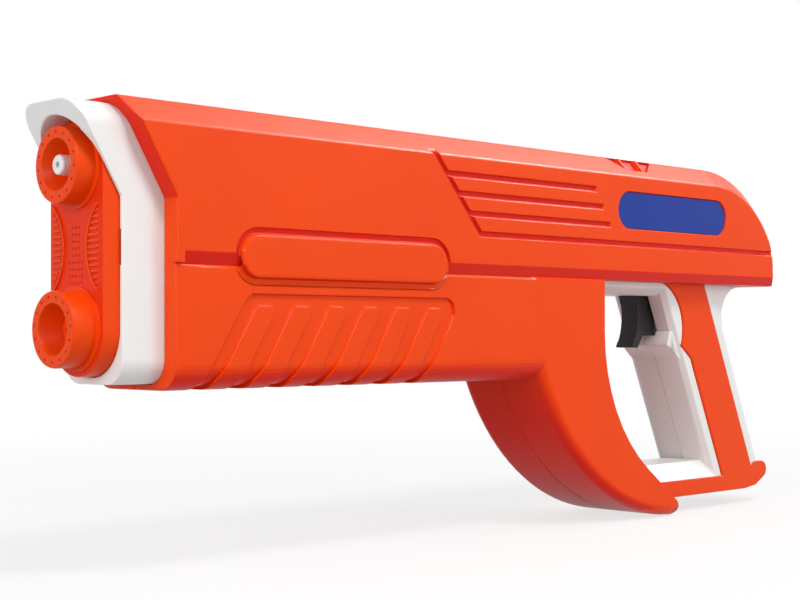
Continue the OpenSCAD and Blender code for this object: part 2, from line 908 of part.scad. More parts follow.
module gear_outline() {
    root_a = flank_angle(base_r) * 180 / PI;
    tooth = concat(
        [[gear_root_r * cos(root_a), -gear_root_r * sin(root_a)]],
        flank(-1), flank(1),
        [[gear_root_r * cos(root_a), gear_root_r * sin(root_a)]]
    );
    polygon([
        for (i = [0:pump_teeth - 1], p = tooth)
            let (a = i * 360 / pump_teeth) [p[0] * cos(a) - p[1] * sin(a), p[0] * sin(a) + p[1] * cos(a)]
    ]);
}

module pump_gear(y, turn, hole_r) {
    x0 = chamber_x + chamber_gap;
    translate([x0, y, pump_z]) rotate([90, 0, 90]) difference() {
        linear_extrude(gear_w) rotate(turn) gear_outline();
        translate([0, 0, -1]) cylinder(r = hole_r, h = gear_w + 2);
    }
}

module drive_gear() {
    color("Ivory") pump_gear(-pitch_r, 0, shaft_r);
}

module idler_gear() {
    color("Ivory") pump_gear(pitch_r, 180 + 180 / pump_teeth, shaft_r + run_gap);
}

module pump_block(x0, x1) {
    block([x0, -pump_half_w, pump_z - pump_half_h], [x1, pump_half_w, pump_z + pump_half_h]);
}

module chamber(x0, x1) {
    for (s = [-1, 1]) rod_x(x0, x1, s * pitch_r, pump_z, chamber_r);
}

module pump_housing() {
    wall_x = chamber_x + chamber_len;
    color("LightSlateGray") difference() {
        union() {
            pump_block(chamber_x, motor_x);
            rod_z(riser_x, 0, pump_top - 1, pump_top + riser_barb, barb_r);
        }
        chamber(chamber_x - 1, wall_x);
        rod_z(riser_x, 0, pump_z, pump_top + riser_barb + 1, bore_r);
        rod_x(chamber_x, motor_x + 1, -pitch_r, pump_z, shaft_r + run_gap);
        rod_x(motor_x - seal_t, motor_x + 1, -pitch_r, pump_z, seal_r);
        rod_x(chamber_x, motor_x - 1, pitch_r, pump_z, shaft_r);
        for (c = pump_corners) rod_x(chamber_x - 1, chamber_x + 10, c[0], c[1], screw_r + run_gap);
    }
}

module pump_gasket() {
    color("DarkSlateGray") difference() {
        pump_block(chamber_x - gasket_t, chamber_x);
        chamber(chamber_x - gasket_t - 1, chamber_x + 1);
        for (c = pump_corners) rod_x(chamber_x - 3, chamber_x + 1, c[0], c[1], screw_r + fit_gap);
    }
}

module pump_cover() {
    color("LightSlateGray") difference() {
        union() {
            pump_block(pump_x, pump_x + cover_t);
            rod_x(pump_x - barb_len, pump_x + 1, 0, z_intake, barb_r);
        }
        rod_x(pump_x - barb_len - 1, pump_x + cover_t + 1, 0, z_intake, bore_r);
        rod_x(pump_x + 2, pump_x + cover_t + 1, -pitch_r, pump_z, shaft_r + run_gap);
        rod_x(pump_x + 2, pump_x + cover_t + 1, pitch_r, pump_z, shaft_r);
        for (c = pump_corners) rod_x(pump_x - 1, pump_x + cover_t + 1, c[0], c[1], screw_r + fit_gap);
    }
}

module pump_screws() {
    color("Silver") for (c = pump_corners) {
        rod_x(pump_x - head_t, pump_x, c[0], c[1], 2.4);
        rod_x(pump_x - 0.5, chamber_x + 8, c[0], c[1], screw_r);
    }
}

module idler_pin() {
    color("Silver") rod_x(pump_x + 2.2, chamber_x + chamber_len + 4, pitch_r, pump_z, shaft_r);
}

module motor_shaft() {
    color("Silver") rod_x(pump_x + 2.2, motor_x + motor_len + 5, -pitch_r, pump_z, shaft_r);
}

module shaft_seal() {
    color("Black") difference() {
        rod_x(motor_x - seal_t, motor_x, -pitch_r, pump_z, seal_r);
        rod_x(motor_x - seal_t - 1, motor_x + 1, -pitch_r, pump_z, shaft_r + run_gap);
    }
}

module motor() {
    cap_len = 3;
    color("Silver") difference() {
        union() {
            rod_x(motor_x, motor_x + motor_len, -pitch_r, pump_z, motor_r);
            rod_x(motor_x + motor_len - 1, motor_x + motor_len + cap_len, -pitch_r, pump_z, motor_r * 0.45);
            for (s = [-1, 1])
                block([motor_x + motor_len - 1, s * motor_r * 0.7 - pitch_r - 1.2, pump_z - 0.3],
                    [motor_x + motor_len + 5, s * motor_r * 0.7 - pitch_r + 1.2, pump_z + 0.3]);
        }
        rod_x(motor_x - 1, motor_x + motor_len + cap_len + 1, -pitch_r, pump_z, shaft_r + run_gap);
    }
}

module riser_hose() {
    color("Silver") difference() {
        rod_z(riser_x, 0, pump_top, z_jet - tank_r, barb_r + hose_t);
        rod_z(riser_x, 0, pump_top - 1, z_jet - tank_r + 1, barb_r + run_gap);
        rod_x(tank_x, tank_x + tank_len, 0, z_jet, tank_r + fit_gap);
    }
}

// Domed tank with a neck towards the valve and a spigot below for the pump
module tank_form(r) {
    x0 = tank_x + tank_r;
    x1 = tank_x + tank_len - tank_r;
    rod_x(x0, x1, 0, z_jet, r);
    for (x = [x0, x1]) translate([x, 0, z_jet]) rotate([0, 90, 0]) sphere(r);
}

module water_tank() {
    color("LightSteelBlue", 0.6) difference() {
        union() {
            tank_form(tank_r);
            rod_x(valve_x1 - socket_len, tank_x + 6, 0, z_jet, neck_r);
            rod_z(riser_x, 0, tank_port_z, z_jet - tank_r + 2, barb_r);
        }
        tank_form(tank_r - tank_wall);
        rod_x(valve_x1 - socket_len - 1, tank_x + 6, 0, z_jet, bore_r + 0.5);
        rod_z(riser_x, 0, tank_port_z - 1, z_jet - tank_r + 3, bore_r);
    }
}

// Burst valve: a spring-held plunger gate across the jet line, pulled down by a coil
module valve_body() {
    color("Gainsboro") difference() {
        union() {
            rod_x(valve_x0, valve_x1, 0, z_jet, valve_r);
            block([valve_x - coil_r, -valve_r, block_z], [valve_x + coil_r, valve_r, z_jet]);
        }
        rod_x(valve_x0 - 1, valve_x1 + 1, 0, z_jet, bore_r);
        rod_x(valve_x0 - 1, valve_x0 + socket_len + fit_gap, 0, z_jet, pipe_r + run_gap);
        rod_x(valve_x1 - socket_len - fit_gap, valve_x1 + 1, 0, z_jet, neck_r + run_gap);
        rod_z(valve_x, 0, block_z - 1, plunger_top + fit_gap, plunger_r + run_gap);
    }
}

module valve_plunger() {
    color("Silver") {
        rod_z(valve_x, 0, coil_top - 0.5, plunger_top, plunger_r);
        rod_z(valve_x, 0, core_bottom, coil_top - 0.4, core_r);
    }
}

module solenoid_coil() {
    color("Peru") difference() {
        rod_z(valve_x, 0, coil_top - coil_len, coil_top, coil_r);
        rod_z(valve_x, 0, coil_top - coil_len - 1, coil_top + 1, core_r + fit_gap);
    }
}

module solenoid_frame() {
    x0 = valve_x - coil_r - frame_t - fit_gap;
    x1 = valve_x + coil_r + frame_t + fit_gap;
    color("Silver") difference() {
        block([x0, -8, frame_bottom], [x1, 8, block_z]);
        block([x0 + frame_t, -9, frame_bottom + frame_t], [x1 - frame_t, 9, block_z - frame_t]);
        rod_z(valve_x, 0, block_z - frame_t - 1, block_z + 1, core_r + fit_gap);
    }
    color("Silver") difference() {
        rod_z(valve_x, 0, frame_bottom + frame_t, coil_top - coil_len, coil_r - 1);
        rod_z(valve_x, 0, frame_bottom + frame_t - 1, coil_top - coil_len + 1, core_r + 1.5);
    }
}

// Coil spring standing on z0, swept along a helix
module coil_spring(x, z0, z1, r, wire, turns) {
    sides = 6;
    per_turn = 12;
    n = turns * per_turn;
    rise = z1 - z0 - 2 * wire;
    points = [
        for (i = [0:n], k = [0:sides - 1])
            let (a = i * 360 / per_turn, b = k * 360 / sides, q = r - wire + wire * cos(b))
            [x + q * cos(a), q * sin(a), z0 + wire + rise * i / n + wire * sin(b)]
    ];
    skin_faces = [
        for (i = [0:n - 1], k = [0:sides - 1])
            let (m = (k + 1) % sides)
            [i * sides + k, (i + 1) * sides + k, (i + 1) * sides + m, i * sides + m]
    ];
    ends = [[for (k = [0:sides - 1]) k], [for (k = [0:sides - 1]) n * sides + sides - 1 - k]];
    polyhedron(points, concat(skin_faces, ends));
}

module plunger_spring() {
    color("Silver")
        coil_spring(valve_x, frame_bottom + frame_t, core_bottom, core_r, spring_wire, 5);
}

// Handle: a leaning section between a ceiling and a floor, split down the middle
module handle_section(inset) {
    c = cos(lean);
    f = inset - nose_bulge * c;
    r = (plate_d + strap_d) * c - inset;
    w = core_w - inset;
    polygon([
        [f, 4 - w], [f + 2.5, -w], [r - 1.5, -w], [r, 2 - w],
        [r, w - 2], [r - 1.5, w], [f + 2.5, w], [f, w - 4]
    ]);
}

module handle_prism(inset, z0, z1) {
    intersection() {
        translate([handle_x(under_z), 0, under_z]) rotate([0, -lean, 0]) translate([0, 0, -2 * under_z])
            linear_extrude(3 * under_z) handle_section(inset);
        block([-big, -big, z0], [big, big, z1]);
    }
}

// Fillet between the back strap and the body above
module strap_flare() {
    x0 = handle_x(under_z) + plate_d + strap_d;
    half_a = (90 - lean) / 2;
    side = flare_r / tan(half_a);
    low_x = x0 + side * sin(lean);
    low_z = under_z - side * cos(lean);
    across(1 - core_w, core_w - 1) difference() {
        polygon([
            [x0 - 6, under_z], [x0 + side, under_z], [x0 + side, under_z - 0.6],
            [low_x + 1, low_z], [low_x - 4, low_z]
        ]);
        translate([x0 + side, under_z - flare_r - 0.6]) circle(flare_r);
    }
}

// Room for the trigger's swing
module trigger_room() {
    w = trigger_w / 2 + 0.5;
    reach = (skirt_x - pivot_x) * cos(trigger_pull) + (pivot_z - skirt_z) * sin(trigger_pull);
    room_x = pivot_x + reach + 2.4;
    across(-w, w) polygon([
        [guard_x + 48, under_z + tang_h + 1],
        [guard_x + 77, under_z + tang_h + 1],
        [guard_x + 77, under_z - 2],
        [room_x, under_z - 9], [room_x, under_z - 29.3], [guard_x + 76.5, under_z - 31],
        [guard_x + 73.2, under_z - 41], [guard_x + 48, under_z - 44]
    ]);
}

// Ledge of the core under the trigger's tip
module finger_hook() {
    across(2 - core_w, core_w - 2) polygon([
        [handle_x(hook_z + 9), hook_z + 9], [palm_x + 18.6, hook_z + 9], [palm_x + 16.6, hook_z + 2],
        [palm_x + 16.4, hook_z], [palm_x + 21.3, hook_z - 2.4],
        [handle_x(hook_z - 8) - nose_bulge + 0.5, hook_z - 8], [handle_x(hook_z - 8), hook_z - 8]
    ]);
}

module core_form() {
    ceil_end = handle_x(under_z) + plate_d;
    floor_top = foot_top + floor_h;
    difference() {
        union() {
            handle_prism(0, foot_top, under_z);
            finger_hook();
            strap_flare();
            along(guard_x, ceil_end) polygon([
                [-core_w, under_z], [core_w, under_z], [core_w, under_z - 3], [core_w - 7, under_z - ceil_h],
                [7 - core_w, under_z - ceil_h], [-core_w, under_z - 3]
            ]);
            intersection() {
                along(guard_x, handle_x(foot_top) + 10) polygon([
                    [-core_w, foot_top], [core_w, foot_top], [core_w - 7, floor_top], [7 - core_w, floor_top]
                ]);
                across(-big, big) behind_guard();
            }
            block([tang_x0, -tang_w, under_z - 1], [tang_x1, tang_w, under_z + tang_h]);
        }
        trigger_room();
        for (s = [0, 1]) mirror([0, s, 0])
            across(handle_w / 2 - plate_t, handle_w) plate_outline(fit_gap);
        difference() {
            handle_prism(skin, floor_top, under_z - 48);
            rod_y(grip_bosses[0][0], grip_bosses[0][1], -core_w, core_w, 4);
        }
        rod_y(grip_bosses[0][0], grip_bosses[0][1], -big, big, screw_r + fit_gap);
        rod_y(tang_boss[0], tang_boss[1], -big, big, boss_r + fit_gap);
        rod_z(tang_x0 + 5, 0, under_z - 60, under_z + tang_h + 1, 3);
    }
}

// Side view of the space behind the hand guard's straight lower stretch
module behind_guard() {
    z1 = foot_top + 20;
    translate([fit_gap, 0])
        polygon([[guard_line_x(z1), z1], [guard_line_x(0), 0], [x_tail + 1, 0], [x_tail + 1, z1]]);
}

module left_grip_core() {
    color("WhiteSmoke") intersection() {
        core_form();
        block([-big, -big, -big], [big, 0, big]);
    }
}

module right_grip_core() {
    color("WhiteSmoke") intersection() {
        core_form();
        block([-big, 0, -big], [big, big, big]);
    }
}

// Outline of the handle's side plate, with the finger hook under the trigger
module plate_outline(gap) {
    rear = plate_d + gap;
    difference() {
        polygon([
            [palm_x, under_z], [palm_x + 26 - gap, hook_z + 0.6], [palm_x + 30 - gap, hook_z - 2.4],
            [handle_x(hook_z - 7.4) - gap, hook_z - 7.4], [handle_x(foot_top) - gap, foot_top],
            [handle_x(foot_top) + 2, foot_top - 1], [handle_x(foot_top) + plate_d - 2, foot_top - 1],
            [handle_x(foot_top) + rear, foot_top], [handle_x(under_z) + rear, under_z]
        ]);
        translate([palm_x, palm_z]) circle(palm_r - gap);
    }
}

// Outline of the bottom bar, ending in the heel
module foot_outline() {
    lip_x = handle_x(foot_top) + plate_d - 3;
    intersection() {
        polygon(concat(
            [[guard_x, foot_z], [heel_x - 24, foot_z], [heel_x - 12, foot_z + 1.5]],
            arc(heel_x - heel_r, foot_top + heel_h - heel_r, heel_r, -50, 90),
            [[lip_x + 4, foot_top + heel_h], [lip_x, foot_top], [guard_x, foot_top]]
        ));
        behind_guard();
    }
}

// One half of the bottom bar, its heel hollowed round the handle's foot
module foot(y0, y1) {
    difference() {
        across(y0, y1) foot_outline();
        handle_prism(-fit_gap, foot_top, under_z);
    }
}

module left_grip_plate() {
    color("OrangeRed") difference() {
        union() {
            across(-handle_w / 2, plate_t - handle_w / 2) plate_outline(0);
            foot(-handle_w / 2, 0);
        }
        for (p = grip_bosses) rod_y(p[0], p[1], grip_screw_tip, 1, screw_r + run_gap);
    }
}

module right_grip_plate() {
    color("OrangeRed") difference() {
        union() {
            across(handle_w / 2 - plate_t, handle_w / 2) plate_outline(0);
            foot(0, handle_w / 2);
        }
        for (p = grip_bosses) {
            rod_y(p[0], p[1], -1, handle_w, screw_r + fit_gap);
            rod_y(p[0], p[1], grip_head_y, handle_w, head_r + fit_gap);
        }
    }
}

// Plain blue plates on the rear panels
module badge() {
    y0 = half_w - badge_seat;
    across(y0, y0 + badge_t) badge_outline(0);
}

module left_badge() {
    color("MediumBlue") mirror([0, 1, 0]) badge();
}

module right_badge() {
    color("MediumBlue") badge();
}

// Trigger: a hooked blade with a concave front, hung from a pin and held forward by a spring under its arm
module trigger() {
    w = trigger_w / 2;
    color("Black") difference() {
        union() {
            across(-w, w) difference() {
                polygon([
                    [guard_x + 53.5, under_z + 2], [guard_x + 56.8, under_z - 37.8],
                    [guard_x + 62.3, under_z - 38.1],
                    [guard_x + 66, under_z - 32.8], [guard_x + 68.3, under_z - 29.8],
                    [guard_x + 77, under_z - 29.8], [skirt_x, skirt_z],
                    [guard_x + 76.3, under_z - 11], [trigger_rear, under_z - 3],
                    [trigger_rear, button_z + 3],
                    [pivot_x + 4, pivot_z], [pivot_x - 4, pivot_z]
                ]);
                translate([guard_x + 27.7, under_z - 19.6]) circle(33.9);
            }
            rod_y(pivot_x, pivot_z, -w, w, hub_r);
            block([spring_x - 4, -3, arm_z], [pivot_x, 3, arm_z + 5]);
        }
        rod_y(pivot_x, pivot_z, -w - 1, w + 1, pin_r + run_gap);
    }
}

module trigger_pin() {
    color("Silver") rod_y(pivot_x, pivot_z, 0.2 - pin_end, pin_end - 0.2, pin_r);
}

module trigger_spring() {
    color("Silver") coil_spring(spring_x, under_z, arm_z, spring_r, spring_wire, 5);
}

module trigger_switch() {
    color("Black") difference() {
        block([switch_x0, -3.5, under_z], [switch_x0 + switch_len, 3.5, under_z + 10]);
        rod_x(switch_x0 - 1, switch_x0 + 5, 0, button_z, 1.6 + run_gap);
    }
}

module switch_button() {
    color("Red") rod_x(trigger_rear + hip_gap, switch_x0 + 1.5, 0, button_z, 1.6);
}

// Electronics
module control_board() {
    color("DarkGreen") {
        block([board_x, board_y - board_t, board_z], [board_x + board_l, board_y, board_z + board_h]);
        for (p = [[6, 6, 9, 7, 2], [20, 5, 12, 12, 1.8], [7, 18, 7, 9, 5], [20, 21, 14, 6, 6]])
            translate([board_x + p[0], board_y - 0.2, board_z + p[1]]) cube([p[2], p[4] + 0.2, p[3]]);
    }
}

module battery_cells() {
    color("SteelBlue") for (s = [-1, 1]) {
        rod_x(cell_x0, cell_x0 + cell_len - 1.2, s * cell_y, cell_z, cell_r);
        rod_x(cell_x0 + cell_len - 1.4, cell_x0 + cell_len, s * cell_y, cell_z, 3);
    }
}

module battery_tray() {
    color("DimGray") difference() {
        union() {
            block([tray_x0, -tray_half_w, tray_z], [tray_x1, tray_half_w, cell_z - 2]);
            for (x = [tray_x0, tray_x1 - tray_end])
                block([x, -tray_half_w, tray_z], [x + tray_end, tray_half_w, cell_z + cell_r - 2]);
        }
        for (s = [-1, 1])
            rod_x(cell_x0 - fit_gap, cell_x0 + cell_len + fit_gap, s * cell_y, cell_z, cell_r + fit_gap);
    }
}

module charge_socket() {
    x1 = x_tail - cap_t - fit_gap;
    w = port_w / 2;
    h = port_h / 2;
    t = 0.5;
    color("Silver") difference() {
        block([x_tail - wall - port_len, -w, port_z - h], [x1, w, port_z + h]);
        block([x1 - 5, t - w, port_z - h + t], [x1 + 1, w - t, port_z + h - t]);
    }
}

module socket_cap() {
    color("DimGray") {
        block([x_tail - cap_t, -cap_w / 2, port_z - cap_h / 2], [x_tail, cap_w / 2, port_z + cap_h / 2]);
        block([x_tail - cap_t - 4, 0.8 - port_w / 2, port_z - port_h / 2 + 0.8],
            [x_tail - cap_t + 0.5, port_w / 2 - 0.8, port_z + port_h / 2 - 0.8]);
    }
}

module shell_screws() {
    color("Silver") for (p = shell_bosses) {
        rod_y(p[0], p[1], head_y, head_y + head_t, head_r);
        rod_y(p[0], p[1], screw_tip, head_y + 0.5, screw_r);
    }
}

module grip_screws() {
    color("Silver") for (p = grip_bosses) {
        rod_y(p[0], p[1], grip_head_y, grip_head_y + 1.8, head_r);
        rod_y(p[0], p[1], grip_screw_tip + 0.4, grip_head_y + 0.5, screw_r);
    }
}

left_shell();
right_shell();
muzzle_collar();
nose_plate();
jet_nozzle();
intake_strainer();
left_grip_core();
right_grip_core();
left_grip_plate();
right_grip_plate();
left_badge();
right_badge();
trigger();
trigger_pin();
trigger_spring();
trigger_switch();
switch_button();
intake_pipe();
check_valve_body();
duckbill();
intake_hose();
pump_housing();
pump_gasket();
pump_cover();
drive_gear();
idler_gear();
idler_pin();
shaft_seal();
pump_screws();
motor();
motor_shaft();
riser_hose();
water_tank();
valve_body();
valve_plunger();
plunger_spring();
solenoid_coil();
solenoid_frame();
control_board();
battery_cells();
battery_tray();
charge_socket();
socket_cap();
shell_screws();
grip_screws();
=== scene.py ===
# %% [markdown]
# # A battery water squirter in Blender
#
# The solids of this toy come from its CAD model: hollow shells, a gear pump, a tank, a trigger. They are
# exact but look like a drawing: every edge is knife-sharp and every face has one flat colour. This lesson
# gives them what a moulded toy has: rounded edges, fine dots, and plastics with a grain. The solids stay as
# they are, and what has to look better is a copy that takes a solid's place.

# %% Load the solids
import json
import math

import bmesh
import bpy
import numpy as np
from mathutils import Matrix, Vector
from mathutils.bvhtree import BVHTree
from mathutils.geometry import intersect_point_line


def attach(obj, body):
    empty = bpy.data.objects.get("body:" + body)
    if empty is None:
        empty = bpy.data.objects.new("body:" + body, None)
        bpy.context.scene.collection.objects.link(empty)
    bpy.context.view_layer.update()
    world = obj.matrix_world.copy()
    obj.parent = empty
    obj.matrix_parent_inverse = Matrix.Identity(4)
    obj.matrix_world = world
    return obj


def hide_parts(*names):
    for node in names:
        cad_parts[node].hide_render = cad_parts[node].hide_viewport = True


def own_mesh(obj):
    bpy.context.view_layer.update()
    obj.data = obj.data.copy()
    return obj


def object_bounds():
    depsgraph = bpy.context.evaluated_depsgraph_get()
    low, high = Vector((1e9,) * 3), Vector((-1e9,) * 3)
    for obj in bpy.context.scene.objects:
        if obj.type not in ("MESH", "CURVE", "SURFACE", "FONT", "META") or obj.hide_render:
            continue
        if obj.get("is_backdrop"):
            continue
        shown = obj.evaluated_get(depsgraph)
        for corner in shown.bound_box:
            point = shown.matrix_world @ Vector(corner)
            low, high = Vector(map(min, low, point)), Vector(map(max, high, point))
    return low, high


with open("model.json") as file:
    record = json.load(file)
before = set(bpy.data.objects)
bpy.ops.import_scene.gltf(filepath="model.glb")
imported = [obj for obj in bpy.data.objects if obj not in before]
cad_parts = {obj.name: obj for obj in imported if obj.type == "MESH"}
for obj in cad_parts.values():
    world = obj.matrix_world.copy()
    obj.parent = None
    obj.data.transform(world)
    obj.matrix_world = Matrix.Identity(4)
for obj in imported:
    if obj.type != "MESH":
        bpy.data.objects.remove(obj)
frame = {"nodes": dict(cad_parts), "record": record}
nodes = frame["nodes"]
cad_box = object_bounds()
MM = 0.001


def in_mm(spot):
    return [round(c / MM, 1) for c in spot]


print(len(nodes), "solids, box in mm:", [in_mm(corner) for corner in cad_box])

# %% [markdown]
# ## Finishes
#
# A material is a small network of nodes. Written node by node it is long and hard to read, so one class
# wraps an output socket: adding or multiplying two of them places the Math nodes, and `make` places any
# other node.

# %% A socket that can be calculated with
class Wire:
    """An output socket of a material. Arithmetic on it adds Math nodes."""

    def __init__(self, socket):
        self.socket = socket
        self.tree = socket.id_data

    def make(self, kind, settings=None, sockets=None, out=0):
        node = self.tree.nodes.new(kind)
        for key, value in (settings or {}).items():
            if key == "stops":
                ramp = node.color_ramp
                while len(ramp.elements) < len(value):
                    ramp.elements.new(0.5)
                for element, (at, level) in zip(ramp.elements, value):
                    element.position = at
                    element.color = (level, level, level, 1)
            else:
                setattr(node, key, value)
        for key, value in (sockets or {}).items():
            if isinstance(value, Wire):
                self.tree.links.new(value.socket, node.inputs[key])
            else:
                node.inputs[key].default_value = value
        return Wire(node.outputs[out])

    def math(self, operation, a, b):
        return self.make("ShaderNodeMath", {"operation": operation}, {0: a, 1: b})

    def __add__(self, other):
        return self.math("ADD", self, other)

    def __radd__(self, other):
        return self.math("ADD", other, self)

    def __sub__(self, other):
        return self.math("SUBTRACT", self, other)

    def __rsub__(self, other):
        return self.math("SUBTRACT", other, self)

    def __mul__(self, other):
        return self.math("MULTIPLY", self, other)

    def __rmul__(self, other):
        return self.math("MULTIPLY", other, self)

    def noise(self, scale, detail=2.0):
        return self.make("ShaderNodeTexNoise", {}, {"Vector": self, "Scale": scale, "Detail": detail})

    def streaks(self, *scale):
        """Noise with its own scale along each axis: a small scale draws it out."""
        return self.make("ShaderNodeMapping", {}, {"Vector": self, "Scale": scale}).noise(1.0, 3.0)

    def ramp(self, *stops):
        return self.make("ShaderNodeValToRGB", {"stops": stops}, {"Fac": self})

    def blend(self, first, second):
        return self.make("ShaderNodeMix", {"data_type": "RGBA"}, {0: self, 6: first, 7: second}, out=2)

    def bump(self, strength, distance):
        return self.make("ShaderNodeBump", {}, {"Height": self, "Strength": strength, "Distance": distance})

    def feed(self, shader, name):
        self.tree.links.new(self.socket, shader.inputs[name])


print("the socket class is ready")

# %% [markdown]
# ### Moulded plastic
#
# A moulding tool is etched, so the plastic comes out with a fine grain. The melt leaves slow, cloudy flow
# marks, and handling leaves a few faint scuffs. Each of these is one noise at its own size: the clouds
# shift the colour, the scuffs shift the roughness, and the grain is a shallow bump. A picture could show
# the same, but a noise fits every shape and has no seams.
#
# Where shade falls, in grooves, vents and on faces that look down, the orange is painted a deeper red. A face
# attribute says how much of this painted shade a face gets.

# %% Plastics
CLOUDS, SCUFFS, GRAIN, RIPPLE = 22.0, 9.0, 1700.0, 520.0
SCUFF_DEPTH, GRAIN_DEPTH = 0.12, 0.06


def finish(name, **constants):
    material = bpy.data.materials.new(name)
    material.use_nodes = True
    shader = material.node_tree.nodes["Principled BSDF"]
    for key, value in constants.items():
        shader.inputs[key.replace("_", " ")].default_value = value
    place = Wire(material.node_tree.nodes.new("ShaderNodeTexCoord").outputs["Object"])
    return material, shader, place


def plastic(name, light, deep, rough, grain=0.05, shade=None, **constants):
    material, shader, place = finish(name, **constants)
    colour = place.noise(CLOUDS, 4.0).ramp((0.3, 0.0), (0.7, 1.0)).blend((*light, 1), (*deep, 1))
    # Painted shade: each face is blended towards the deep red shade colour by its face attribute.
    if shade:
        sunk = place.make("ShaderNodeAttribute", {"attribute_name": "sunk"}, out=2)
        colour = sunk.blend(colour, (*shade, 1))
    colour.feed(shader, "Base Color")
    scratches = place.streaks(40.0, 900.0, 260.0).ramp((0.62, 0.0), (0.72, 1.0))
    worn = scratches * place.noise(SCUFFS).ramp((0.5, 0.0), (0.65, 1.0))
    pits = place.noise(GRAIN, 1.0)
    (rough + SCUFF_DEPTH * worn + GRAIN_DEPTH * (pits - 0.5)).feed(shader, "Roughness")
    (pits + 0.6 * place.noise(RIPPLE, 1.0)).bump(grain, 0.4 * MM).feed(shader, "Normal")
    return material


# The orange's third colour is the deep red of painted shade.
orange = plastic("orange plastic", (0.82, 0.060, 0.001), (0.79, 0.055, 0.001), 0.36, grain=0.10,
                 shade=(0.68, 0.006, 0.005), Specular_IOR_Level=0.13)
white = plastic("white plastic", (0.79, 0.79, 0.78), (0.77, 0.77, 0.755), 0.34, grain=0.06,
                Specular_IOR_Level=0.35)
black = plastic("black plastic", (0.013, 0.015, 0.017), (0.009, 0.010, 0.011), 0.38, grain=0.14,
                Specular_IOR_Level=0.3)
blue = plastic("blue plate", (0.006, 0.036, 0.29), (0.005, 0.031, 0.27), 0.24, grain=0.03,
               Specular_IOR_Level=0.2)
red = plastic("red button", (0.55, 0.02, 0.015), (0.5, 0.018, 0.012), 0.35)
grey = plastic("grey plastic", (0.42, 0.43, 0.44), (0.39, 0.40, 0.41), 0.4)
nylon = plastic("nylon", (0.78, 0.75, 0.66), (0.74, 0.71, 0.61), 0.42)
tank = plastic("tank plastic", (0.55, 0.65, 0.72), (0.5, 0.61, 0.69), 0.2, grain=0.03)
rubber = plastic("rubber", (0.022, 0.022, 0.024), (0.030, 0.029, 0.028), 0.72, grain=0.2)
hose = plastic("silicone hose", (0.5, 0.52, 0.53), (0.47, 0.49, 0.5), 0.5)
board = plastic("circuit board", (0.015, 0.15, 0.05), (0.010, 0.12, 0.04), 0.3)
wrap = plastic("cell wrap", (0.05, 0.16, 0.4), (0.045, 0.14, 0.36), 0.3, grain=0.04)
print("plastics:", [m.name for m in bpy.data.materials])

# %% [markdown]
# ### Metal
#
# The screws, pins and springs are plated steel and the coil is varnished copper wire. Drawing and turning
# leave fine lines in metal. They are a noise that is squeezed along one axis, and it feeds the roughness
# and the bump together, so that the dull lines are the raised ones.

# %% Metals
def metal(name, light, deep, rough):
    material, shader, place = finish(name, Metallic=1.0)
    place.noise(60.0, 4.0).blend((*light, 1), (*deep, 1)).feed(shader, "Base Color")
    lines = place.streaks(3000.0, 300.0, 300.0)
    (rough + 0.16 * (lines - 0.5)).feed(shader, "Roughness")
    lines.bump(0.05, 0.2 * MM).feed(shader, "Normal")
    return material


steel = metal("zinc-plated steel", (0.62, 0.62, 0.63), (0.5, 0.5, 0.52), 0.3)
copper = metal("varnished copper", (0.72, 0.34, 0.17), (0.55, 0.22, 0.10), 0.35)
print("metals:", steel.name, "and", copper.name)

# %% [markdown]
# ### Paint the solids
#
# The record of the part names a slot for the material of each solid, and the body that it moves with.
# Reading both from there keeps the looks and the motion of the copies the same as those of the solids.

# %% Every solid gets the finish of its slot
FINISHES = {
    "orange_plastic": orange, "white_plastic": white, "blue_plastic": blue, "black_plastic": black,
    "red_plastic": red, "steel": steel, "grey_plastic": grey, "nylon": nylon, "rubber": rubber, "hose": hose,
    "tank_plastic": tank, "copper": copper, "board": board, "cell_wrap": wrap,
}
slot_of = {part["node"]: part["material_slot"] for part in frame["record"]["subparts"]}
bodies = frame["record"]["behaviour"]["bodies"]
body_of = {node: body for body, members in bodies.items() for node in members}
for name, solid in nodes.items():
    solid.data.materials.clear()
    solid.data.materials.append(FINISHES[slot_of[name]])
print("painted", len(nodes), "solids")

# %% [markdown]
# ## Copies that can be worked on
#
# A solid comes as loose triangles. A copy is merged into one skin and its flat triangles are dissolved into
# plain faces, because a bevel needs clean edges. Blender's Boolean and Bevel work as modifiers. Each one is
# baked into the mesh as soon as it is set, so that the next step finds plain geometry.

# %% Make, bake and cut a copy
WELD = 0.01 * MM
FLAT = math.radians(0.4)


def shape(name, mesh):
    """An object at the origin, made of a bmesh."""
    data = bpy.data.meshes.new(name)
    mesh.to_mesh(data)
    mesh.free()
    piece = bpy.data.objects.new(name, data)
    bpy.context.scene.collection.objects.link(piece)
    return piece


def bake(piece):
    """Puts what the modifiers make in place of the mesh."""
    bpy.context.view_layer.update()
    done = bpy.data.meshes.new_from_object(piece.evaluated_get(bpy.context.evaluated_depsgraph_get()))
    old = piece.data
    piece.modifiers.clear()
    piece.data = done
    bpy.data.meshes.remove(old)
    done.name = piece.name


def carve(piece, cutter):
    knife = shape("knife", cutter)
    cut = piece.modifiers.new("cut", "BOOLEAN")
    cut.operation = "DIFFERENCE"
    cut.solver = "EXACT"
    cut.use_self = True
    cut.object = knife
    bake(piece)
    bpy.data.objects.remove(knife)


def welded(data):
    mesh = bmesh.new()
    mesh.from_mesh(data)
    bmesh.ops.remove_doubles(mesh, verts=mesh.verts, dist=WELD)
    return mesh


def skin_of(name, trim=None):
    """A solid's triangles, merged into plain faces, less what the trim takes away."""
    mesh = welded(nodes[name].data)
    if trim:
        block = shape("block", mesh)
        carve(block, trim)
        mesh = welded(block.data)
        bpy.data.objects.remove(block)
    bmesh.ops.dissolve_limit(mesh, angle_limit=FLAT, verts=mesh.verts, edges=mesh.edges)
    return mesh


print("a copy's corners are merged within %.2f mm" % (WELD / MM))

